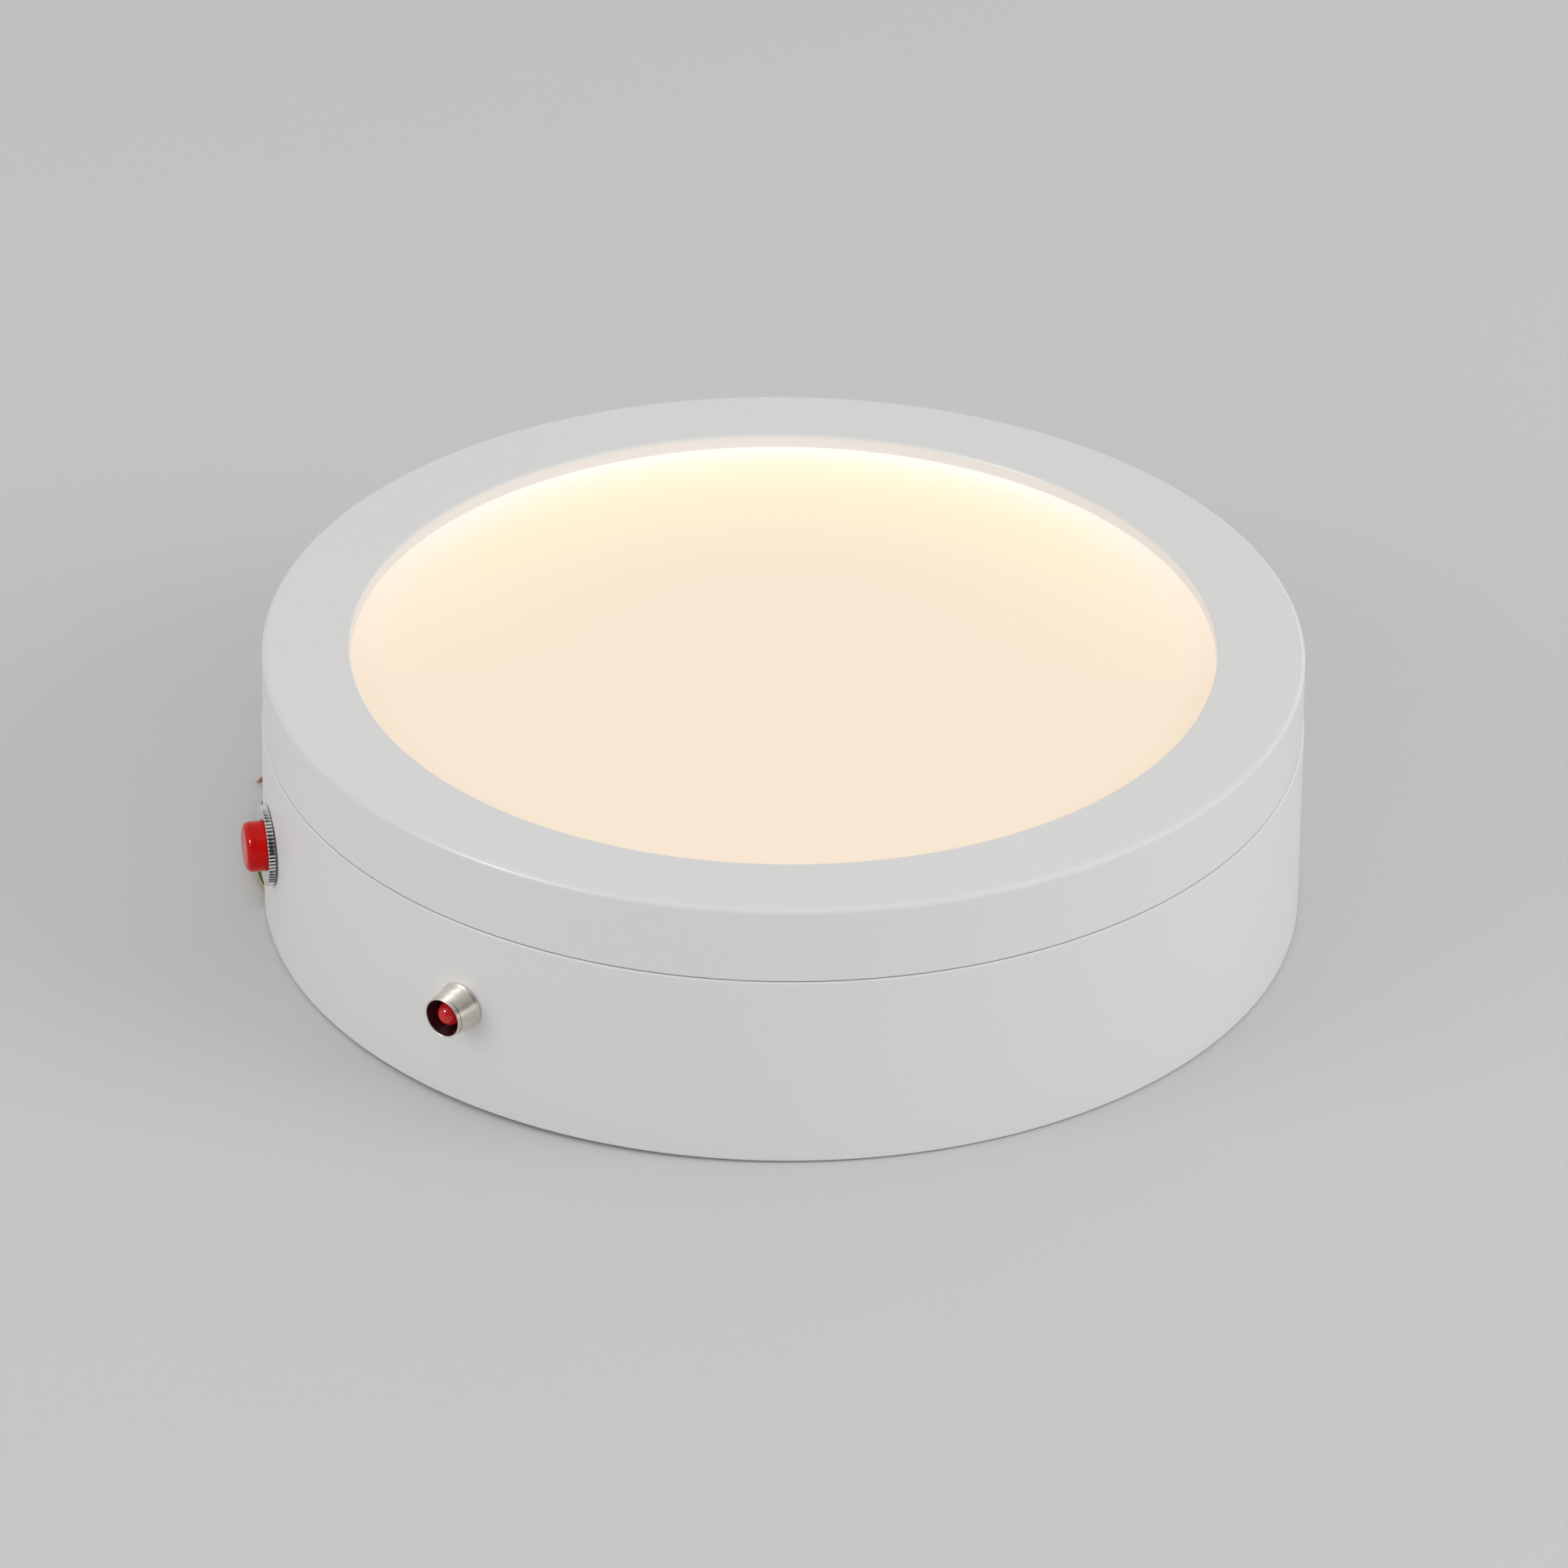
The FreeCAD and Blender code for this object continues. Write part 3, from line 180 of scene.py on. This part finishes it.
# ---------------------------------------------------------------------------------------------
# Node helpers
# ---------------------------------------------------------------------------------------------
def add_node(tree, kind, inputs=None, **settings):
    """Adds a node.  Its inputs are numbers, colours or other nodes' outputs."""
    item = tree.nodes.new(kind)
    for name, value in settings.items():
        setattr(item, name, value)
    for socket, value in (inputs or {}).items():
        if isinstance(value, bpy.types.NodeSocket):
            tree.links.new(value, item.inputs[socket])
        else:
            item.inputs[socket].default_value = value
    return item


class Material:
    """A Principled material with a few short ways to add nodes."""

    def __init__(self, name, colour, rough, metal=0.0, **sockets):
        self.material = bpy.data.materials.new(name)
        self.material.use_nodes = True
        self.tree = self.material.node_tree
        self.shader = self.tree.nodes["Principled BSDF"]
        self.put("Base Color", (*colour, 1))
        self.put("Roughness", rough)
        self.put("Metallic", metal)
        for socket, value in sockets.items():
            self.put(socket.replace("_", " "), value)
        self.height = None

    def put(self, socket, value):
        self.shader.inputs[socket].default_value = value

    def add(self, kind, inputs=None, **settings):
        return add_node(self.tree, kind, inputs, **settings)

    def place(self):
        return self.add("ShaderNodeTexCoord").outputs["Object"]

    def height_and_reach(self):
        """How high a point is, and how far it is from the case's axis."""
        place = self.place()
        reach = self.vector("LENGTH", self.vector("MULTIPLY", place, (1, 1, 0)))
        return self.add("ShaderNodeSeparateXYZ", {0: place}).outputs["Z"], reach

    def round_axis(self, axis, centre):
        """How far along an axis a point is from a centre, and how far it is beside the axis."""
        offset = self.vector("SUBTRACT", self.place(), centre)
        reach = self.vector("LENGTH", self.vector("CROSS_PRODUCT", offset, axis))
        return self.vector("DOT_PRODUCT", offset, axis), reach

    def lathe_grain(self, axis, centre):
        """The direction across the lathe marks: along a cone's or a shaft's side, or inwards."""
        offset = self.vector("SUBTRACT", self.place(), centre)
        outwards = self.vector("CROSS_PRODUCT", axis, self.vector("CROSS_PRODUCT", offset, axis))
        return self.vector("SUBTRACT", axis, self.vector("NORMALIZE", outwards))

    def noise(self, scale, detail=3.0, rough=0.5):
        return self.add("ShaderNodeTexNoise", {
            "Vector": self.place(), "Scale": scale, "Detail": detail,
            "Roughness": rough}).outputs["Fac"]

    def between(self, value, low, high, to_low, to_high):
        """Turns a range of a value into another range, and stays within it."""
        return self.add("ShaderNodeMapRange", {
            "Value": value, "From Min": low, "From Max": high, "To Min": to_low,
            "To Max": to_high}).outputs["Result"]

    def mix(self, share, first, second):
        """Mixes two colours, each a node's output or red, green and blue."""
        first, second = (value if isinstance(value, bpy.types.NodeSocket) else (*value, 1)
                         for value in (first, second))
        return self.add("ShaderNodeMix", {0: share, 6: first, 7: second},
                        data_type="RGBA").outputs[2]

    def vector(self, operation, *values):
        """A new vector from vectors, or a number for a length or a dot product."""
        item = self.add("ShaderNodeVectorMath", dict(enumerate(values)), operation=operation)
        return item.outputs["Value" if operation in ("LENGTH", "DOT_PRODUCT") else "Vector"]

    def math(self, operation, *values):
        return self.add("ShaderNodeMath", dict(enumerate(values)), operation=operation).outputs[0]

    def link(self, socket, source):
        self.tree.links.new(source, self.shader.inputs[socket])

    def colour(self, source):
        self.link("Base Color", source)

    def rough(self, source):
        self.link("Roughness", source)

    def bump(self, height, distance, strength=1.0):
        inputs = {"Height": height, "Distance": distance, "Strength": strength}
        if self.height is not None:
            inputs["Normal"] = self.height
        self.height = self.add("ShaderNodeBump", inputs).outputs["Normal"]
        self.link("Normal", self.height)


def mottled(name, colour, rough, metal=0.0, spread=0.06, scale=60.0, rough_spread=0.08,
            grain=900.0, depth=0.00002, **sockets):
    """A plain material with a little variation in its colour, its gloss and its surface."""
    made = Material(name, colour, rough, metal, **sockets)
    patch = made.noise(scale, 4.0)
    dark = [max(0.0, c * (1 - spread)) for c in colour]
    light = [min(1.0, c * (1 + spread)) for c in colour]
    made.colour(made.mix(patch, dark, light))
    made.rough(made.between(made.noise(scale * 2.3, 3.0), 0.3, 0.7, rough - rough_spread / 2,
                            rough + rough_spread / 2))
    made.bump(made.noise(grain, 2.0), depth)
    return made.material


# ---------------------------------------------------------------------------------------------
# The materials that show
# ---------------------------------------------------------------------------------------------
def floor_material():
    made = Material("studio_paper", (0.68, 0.68, 0.68), 0.9)
    made.put("Specular IOR Level", 0.1)
    return made.material


SEAM_DEPTH, SEAM_REACH = 0.5 * MM, 0.6 * MM  # where the seam's shadow starts, and its half height


def case_paint():
    """White powder coat: satin, with a fine orange peel, and a painted shadow in the seam's groove.
    """
    made = Material("case_paint", (0.80, 0.795, 0.785), 0.38)
    made.put("Specular IOR Level", 0.42)
    tone = made.mix(made.noise(14.0, 3.0), (0.79, 0.785, 0.775), (0.81, 0.806, 0.798))
    height, reach = made.height_and_reach()
    # painted shadow: a dark band inside the groove of the seam between the front ring and the
    # housing
    inside = made.math("LESS_THAN", reach, CASE_RADIUS - SEAM_DEPTH)
    seam_shadow = made.math("MULTIPLY", inside, made.math("COMPARE", height, SEAM_HEIGHT, SEAM_REACH))
    made.colour(made.mix(seam_shadow, tone, (0.13, 0.12, 0.11)))
    made.rough(made.between(made.noise(90.0, 3.0), 0.3, 0.7, 0.34, 0.42))
    made.bump(made.noise(1100.0, 2.0, 0.6), 0.00004, 0.35)
    return made.material


PANEL_GLOW = (0.635, 0.50, 0.36)
# the side of the panel where a brighter, whiter glow is painted, and how much warm and white glow is
# painted there
PAINTED_GLOW_SIDE = Vector((0.215, 0.977, 0))
PAINTED_WARM_GLOW, PAINTED_WHITE_GLOW = 0.23, 0.29


def diffuser():
    """Opal acrylic, lit from its edge: it glows warm, and a painted glow makes it whiter and
    brighter towards one side of its edge.
    """
    made = Material("opal_diffuser", (0.35, 0.34, 0.32), 0.32)
    made.put("Specular IOR Level", 0.35)
    reach = made.height_and_reach()[1]
    # painted light: a brighter, whiter glow painted on one side of the panel's edge, standing in for
    # edge light that looks brighter from a slant
    ahead = made.vector("DOT_PRODUCT", made.place(), PAINTED_GLOW_SIDE)
    side = made.between(made.math("DIVIDE", ahead, made.math("MAXIMUM", reach, MM)),
                        -0.2, 1.0, 0.0, 1.0)
    share = made.between(reach, 20 * MM, 91.5 * MM, 0.0, 1.0)
    warm = made.math("MULTIPLY", made.math("POWER", share, 2.5), PAINTED_WARM_GLOW)
    white = made.math("MULTIPLY", made.math("POWER", share, 10.0), PAINTED_WHITE_GLOW)
    warm, white = made.math("MULTIPLY", side, warm), made.math("MULTIPLY", side, white)
    painted_glow = made.add("ShaderNodeCombineXYZ", {0: warm, 1: warm, 2: white}).outputs[0]
    made.link("Emission Color", made.vector("ADD", painted_glow, PANEL_GLOW))
    made.put("Emission Strength", 1.0)
    made.bump(made.noise(2600.0, 2.0), 0.00002, 0.5)
    return made.material


def turned_metal(name, colour, rough, turned, pitch, depth):
    """Bright metal with fine lathe rings: turned is their axis and the middle of the piece."""
    made = Material(name, colour, rough, 1.0)
    along, reach = made.round_axis(*turned)
    ring = made.math("SINE", made.math("MULTIPLY", made.math("ADD", along, reach),
                                       2 * math.pi / pitch))
    made.rough(made.between(made.noise(500.0, 2.0), 0.3, 0.7, rough * 0.8, rough * 1.25))
    made.bump(ring, depth, 1.0)
    made.bump(made.noise(1500.0, 2.0), 0.00001, 0.3)
    return made, along, reach


KNURL_BOTTOM, KNURL_SHADE_TOP, KNURL_INNER, KNURL_FRONT = 8.56 * MM, 8.72 * MM, 8.3 * MM, 0.45 * MM
BOWL_RADIUS, BOWL_BACK = 4.16 * MM, 3.0 * MM


def bright_chrome(turned):
    """The ring nut's plate, with painted shade, near black, at the bottom of its knurl's grooves."""
    plate = (0.80, 0.80, 0.79)
    made, along, reach = turned_metal("bright_chrome", plate, 0.10, turned, 0.35 * MM, 0.0006 * MM)
    # painted shade: near black at the bottom of the knurl's grooves, fading out towards the tops of
    # its teeth
    knurl_groove_shade = made.between(reach, KNURL_BOTTOM, KNURL_SHADE_TOP, 1.0, 0.0)
    rim = made.math("MULTIPLY", made.math("GREATER_THAN", reach, KNURL_INNER),
                    made.math("LESS_THAN", along, KNURL_FRONT))
    made.colour(made.mix(made.math("MULTIPLY", knurl_groove_shade, rim), plate, (0.01, 0.01, 0.01)))
    return made.material


def satin_nickel(turned):
    """The bezel: turned and plated outside, with a black-red bowl round the lamp."""
    made, along, reach = turned_metal("satin_nickel", (0.80, 0.765, 0.70), 0.42, turned,
                                      0.30 * MM, 0.0009 * MM)
    made.put("Anisotropic", 0.9)
    made.put("Specular IOR Level", 0.12)
    made.link("Tangent", made.lathe_grain(*turned))
    bowl = made.math("MULTIPLY", made.math("LESS_THAN", reach, BOWL_RADIUS),
                     made.math("GREATER_THAN", along, BOWL_BACK))
    tint = made.mix(made.noise(900.0, 2.0), (0.76, 0.72, 0.65), (0.84, 0.80, 0.74))
    made.colour(made.mix(bowl, tint, (0.035, 0.002, 0.004)))
    made.link("Metallic", made.math("SUBTRACT", 1.0, bowl))
    return made.material


def gloss(name, colour, rough, shine):
    """Moulded gloss plastic with slight flow marks."""
    made = Material(name, colour, rough)
    made.put("Specular IOR Level", shine)
    dark = [c * 0.94 for c in colour]
    made.colour(made.mix(made.noise(160.0, 3.0), dark, colour))
    made.rough(made.between(made.noise(700.0, 3.0), 0.3, 0.7, rough * 0.7, rough * 1.5))
    made.bump(made.noise(420.0, 2.0), 0.000008, 0.25)
    return made.material


def glowing_lamp():
    """Red tinted epoxy, lit from inside near its tip."""
    made = Material("led_red", (0.42, 0.012, 0.014), 0.10)
    made.put("Emission Color", (1.0, 0.02, 0.02, 1))
    made.put("Emission Strength", 0.14)
    made.bump(made.noise(900.0, 2.0), 0.00001, 0.2)
    return made.material


def galvanised():
    """Zinc sheet with faint spangles and rolling marks."""
    made = Material("galvanised_steel", (0.60, 0.61, 0.62), 0.42, 1.0)
    cells = made.add("ShaderNodeTexVoronoi", {"Vector": made.place(), "Scale": 120.0})
    made.colour(made.mix(cells.outputs["Color"], (0.52, 0.535, 0.55), (0.68, 0.69, 0.70)))
    made.rough(made.between(made.noise(60.0, 4.0), 0.3, 0.7, 0.34, 0.52))
    made.bump(made.noise(800.0, 2.0), 0.00003, 0.4)
    return made.material


# ---------------------------------------------------------------------------------------------
# Mesh helpers
# ---------------------------------------------------------------------------------------------
def mesh_object(name, mesh):
    made = bpy.data.objects.new(name, mesh)
    bpy.context.scene.collection.objects.link(made)
    return made


def ring_of_points(work, middle, across, beside, radius, sides, turn=0.0):
    """A ring of vertices round a middle, in the plane of two directions."""
    angles = (2 * math.pi * s / sides + turn for s in range(sides))
    return [work.verts.new(middle + (across * math.cos(a) + beside * math.sin(a)) * radius)
            for a in angles]


def skin(work, rings, striped_sides=()):
    """Smooth faces between rings of vertices, and a cap at each end."""
    sides = len(rings[0])
    for lower, upper in zip(rings, rings[1:]):
        for s in range(sides):
            n = (s + 1) % sides
            face = work.faces.new((lower[s], lower[n], upper[n], upper[s]))
            face.smooth, face.material_index = True, int(s in striped_sides)
    work.faces.new(rings[0][::-1])
    work.faces.new(rings[-1])


def finish_mesh(name, work, materials):
    """An object made from a bmesh, which is then freed."""
    bmesh.ops.recalc_face_normals(work, faces=work.faces)
    mesh = bpy.data.meshes.new(name)
    work.to_mesh(mesh)
    work.free()
    for material in materials:
        mesh.materials.append(material)
    return mesh_object(name, mesh)


def lathe(name, outline, steps):
    """Turns an outline of (radius, height) points in metres about Z."""
    work = bmesh.new()
    rings = []
    for radius, height in outline:
        if radius < 1e-9:
            rings.append([work.verts.new((0, 0, height))])
            continue
        rings.append([work.verts.new((radius * math.cos(2 * math.pi * k / steps),
                                      radius * math.sin(2 * math.pi * k / steps), height))
                      for k in range(steps)])
    for lower, upper in zip(rings, rings[1:]):
        for k in range(steps):
            n = (k + 1) % steps
            corners = [lower[k % len(lower)], lower[n % len(lower)],
                       upper[n % len(upper)], upper[k % len(upper)]]
            unique = [c for i, c in enumerate(corners) if c not in corners[:i]]
            if len(unique) > 2:
                work.faces.new(unique)
    for face in work.faces:
        face.smooth = True
    return finish_mesh(name, work, [])


# ---------------------------------------------------------------------------------------------
# Finishes for every CAD node, by material slot
# ---------------------------------------------------------------------------------------------
def radial_axis(node):
    """The direction that a node on the round wall points out in, and its middle."""
    low, high = (Vector(c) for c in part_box(node))
    middle = (low + high) / 2
    return Vector((middle.x, middle.y, 0)).normalized(), middle


def finishes():
    bezel_axis, bezel_middle = radial_axis("indicator_bezel")
    nut_axis, nut_middle = radial_axis("knurled_nut")
    return {
        "case_paint": case_paint(),
        "opal_diffuser": diffuser(),
        "clear_acrylic": mottled("clear_acrylic", (0.93, 0.96, 0.96), 0.05, Transmission_Weight=0.9),
        "reflector_film": mottled("reflector_film", (0.93, 0.93, 0.92), 0.5),
        "grey_foam": mottled("grey_foam", (0.30, 0.30, 0.31), 0.95, spread=0.2, grain=700.0,
                             depth=0.0003),
        "strip_board": mottled("strip_board", (0.90, 0.90, 0.89), 0.4),
        "led_phosphor": mottled("led_phosphor", (0.93, 0.80, 0.30), 0.25),
        "galvanised_steel": galvanised(),
        "zinc_screw": mottled("zinc_screw", (0.62, 0.63, 0.64), 0.3, 1.0, spread=0.1, scale=400.0),
        "module_plastic": mottled("module_plastic", (0.80, 0.80, 0.78), 0.5, spread=0.02),
        "circuit_board": mottled("circuit_board", (0.02, 0.16, 0.07), 0.35, spread=0.15),
        "components": mottled("components", (0.03, 0.03, 0.035), 0.45, spread=0.3),
        "cell_steel": mottled("cell_steel", (0.70, 0.70, 0.71), 0.3, 1.0),
        "cell_wrap": mottled("cell_wrap", (0.02, 0.12, 0.45), 0.3),
        "terminal_plastic": mottled("terminal_plastic", (0.82, 0.82, 0.78), 0.5),
        "terminal_brass": mottled("terminal_brass", (0.72, 0.52, 0.22), 0.3, 1.0),
        "earth_plate": mottled("earth_plate", (0.72, 0.66, 0.50), 0.35, 1.0),
        "bright_chrome": bright_chrome((nut_axis, nut_middle)),
        "red_cap": gloss("red_cap", (0.62, 0.004, 0.004), 0.14, 0.18),
        "button_stem": mottled("button_stem", (0.82, 0.82, 0.80), 0.35),
        "switch_plastic": mottled("switch_plastic", (0.02, 0.02, 0.02), 0.45, spread=0.3),
        "spring_steel": mottled("spring_steel", (0.55, 0.55, 0.56), 0.25, 1.0),
        "satin_nickel": satin_nickel((bezel_axis, bezel_middle)),
        "led_red": glowing_lamp(),
        "sleeve_black": mottled("sleeve_black", (0.02, 0.02, 0.02), 0.5, spread=0.3),
        "clamp_nylon": mottled("clamp_nylon", (0.72, 0.72, 0.68), 0.45, spread=0.03,
                               Subsurface_Weight=0.1),
        "earth_insulation": gloss("earth_green", (0.012, 0.10, 0.02), 0.35, 0.3),
        "line_insulation": gloss("line_brown", (0.12, 0.045, 0.025), 0.38, 0.3),
        "neutral_insulation": gloss("neutral_blue", (0.012, 0.075, 0.38), 0.38, 0.3),
        "copper": mottled("copper", (0.58, 0.34, 0.26), 0.38, 1.0, spread=0.15, scale=900.0),
        "wire_white": mottled("wire_white", (0.82, 0.82, 0.80), 0.4),
        "wire_red": mottled("wire_red", (0.45, 0.02, 0.02), 0.4),
    }


def dress(materials):
    for entry in frame["record"]["subparts"]:
        item = frame["nodes"][entry["node"]]
        for slot in item.material_slots:
            slot.material = materials[entry["material_slot"]]
        if not item.material_slots:
            item.data.materials.append(materials[entry["material_slot"]])


# ---------------------------------------------------------------------------------------------
# The mains leads
# ---------------------------------------------------------------------------------------------
LEAD_DIAMETER = 2.0 * MM
STRAND_LENGTH = 5.5 * MM
LEADS = {
    "earth": [
        (-106.9, 8.6, 1.9), (-108.7, 13.0, 1.7), (-111.0, 18.4, 1.4), (-111.5, 24.9, 2.5),
        (-110.2, 32.4, 3.4), (-108.2, 41.0, 3.6), (-104.6, 51.0, 3.5), (-98.6, 61.6, 3.6),
        (-91.0, 72.5, 3.5), (-82.2, 83.6, 3.1), (-72.0, 93.8, 1.6), (-60.8, 102.0, 1.1),
        (-51.2, 110.4, 1.2), (-43.6, 119.4, 1.1), (-34.0, 126.0, 1.1)],
    "line": [
        (-104.4, 9.9, 1.9), (-107.0, 15.2, 1.6), (-108.3, 21.2, 1.2), (-109.2, 29.3, 1.1),
        (-109.4, 38.9, 1.2), (-106.9, 50.2, 1.1), (-101.7, 61.4, 1.2), (-92.6, 71.6, 1.1),
        (-84.6, 82.3, 1.2), (-79.9, 94.3, 1.1), (-79.2, 103.4, 1.2), (-82.8, 108.0, 1.1),
        (-88.4, 108.7, 1.2), (-93.0, 105.2, 1.1), (-94.8, 96.1, 1.2), (-96.2, 86.1, 1.1),
        (-98.0, 75.2, 1.2), (-99.4, 70.1, 1.1), (-102.0, 67.2, 1.1)],
    "neutral": [
        (-101.9, 11.2, 1.9), (-104.5, 16.5, 1.6), (-105.8, 23.9, 1.2), (-106.8, 33.1, 1.1),
        (-106.1, 43.9, 1.2), (-101.3, 55.2, 1.1), (-94.0, 66.7, 1.2), (-85.0, 78.1, 1.1),
        (-74.2, 88.6, 1.2), (-62.4, 97.6, 1.1), (-49.9, 105.0, 1.2), (-37.5, 111.0, 1.1),
        (-26.6, 116.6, 1.2), (-15.0, 120.6, 1.1)],
}
LEAD_SIDES = 16
STRIPE_SIDES = (8, 9, 10, 11)
STRIPE_TWIST = 25.0  # radians for each metre of lead
STRAND_COUNT, STRAND_RADIUS, STRAND_PITCH = 7, 0.155 * MM, 0.31 * MM
STRAND_SIDES, STRAND_STEPS, STRAND_TURN = 8, 8, 1.4
STRAND_TUCK = 0.05  # the share of a strand's length that starts inside the jacket


def route_curve(name, points):
    """The lead's line: one smooth spline with the route's points as its control points."""
    curve = bpy.data.curves.new(name, "CURVE")
    curve.dimensions, curve.resolution_u = "3D", 10
    spline = curve.splines.new("NURBS")
    spline.points.add(len(points) - 1)
    for item, point in zip(spline.points, points):
        item.co = (*(Vector(point) * MM), 1)
    spline.order_u = 3
    spline.use_endpoint_u = True
    return curve


def line_points(name, points):
    made = mesh_object(name, route_curve(name, points))
    line = [v.co.copy() for v in bpy.data.meshes.new_from_object(made).vertices]
    bpy.data.objects.remove(made)
    return line


def jacket(name, line, materials, stripe):
    """The lead's insulation along a line of points, with a stripe that winds slowly round it."""
    work = bmesh.new()
    across, rings, travelled = UP.copy(), [], 0.0
    for k, point in enumerate(line):
        way = (line[min(k + 1, len(line) - 1)] - line[max(k - 1, 0)]).normalized()
        across = (across - way * across.dot(way)).normalized()
        if k:
            travelled += (point - line[k - 1]).length
        rings.append(ring_of_points(work, point, across, way.cross(across), LEAD_DIAMETER / 2,
                                    LEAD_SIDES, STRIPE_TWIST * travelled))
    skin(work, rings, stripe)
    return finish_mesh(name, work, materials)


def mains_leads(materials):
    yellow = gloss("earth_yellow", (0.70, 0.46, 0.02), 0.35, 0.3)
    for conductor, points in LEADS.items():
        node, slot = "lead_" + conductor, conductor + "_insulation"
        line = line_points(node + "_line", points)
        striped = conductor == "earth"
        lead = jacket(node + "_jacket", line, [materials[slot], yellow][:1 + striped],
                      STRIPE_SIDES if striped else ())
        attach(lead, "light")
        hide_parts(node)
        strands = strand_bundle(node + "_copper", line[-1], (line[-1] - line[-2]).normalized(),
                                materials["copper"])
        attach(strands, "light")
        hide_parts(node + "_strands")


def strand_bundle(name, start, way, material):
    """Fine strands, one in the middle and the others laid round it with a slow twist."""
    work = bmesh.new()
    across = (UP - way * UP.dot(way)).normalized()
    beside = way.cross(across)
    for strand in range(STRAND_COUNT):
        away = 0.0 if strand == 0 else STRAND_PITCH
        rings = []
        for k in range(STRAND_STEPS + 1):
            share = k / STRAND_STEPS
            turn = strand * math.pi / 3 + STRAND_TURN * share
            middle = start + way * STRAND_LENGTH * (share - STRAND_TUCK) + (
                across * math.cos(turn) + beside * math.sin(turn)) * away
            rings.append(ring_of_points(work, middle, across, beside, STRAND_RADIUS, STRAND_SIDES))
        skin(work, rings)
    return finish_mesh(name, work, [material])


# ---------------------------------------------------------------------------------------------
make_camera()
materials = finishes()
dress(materials)
mains_leads(materials)
make_studio()
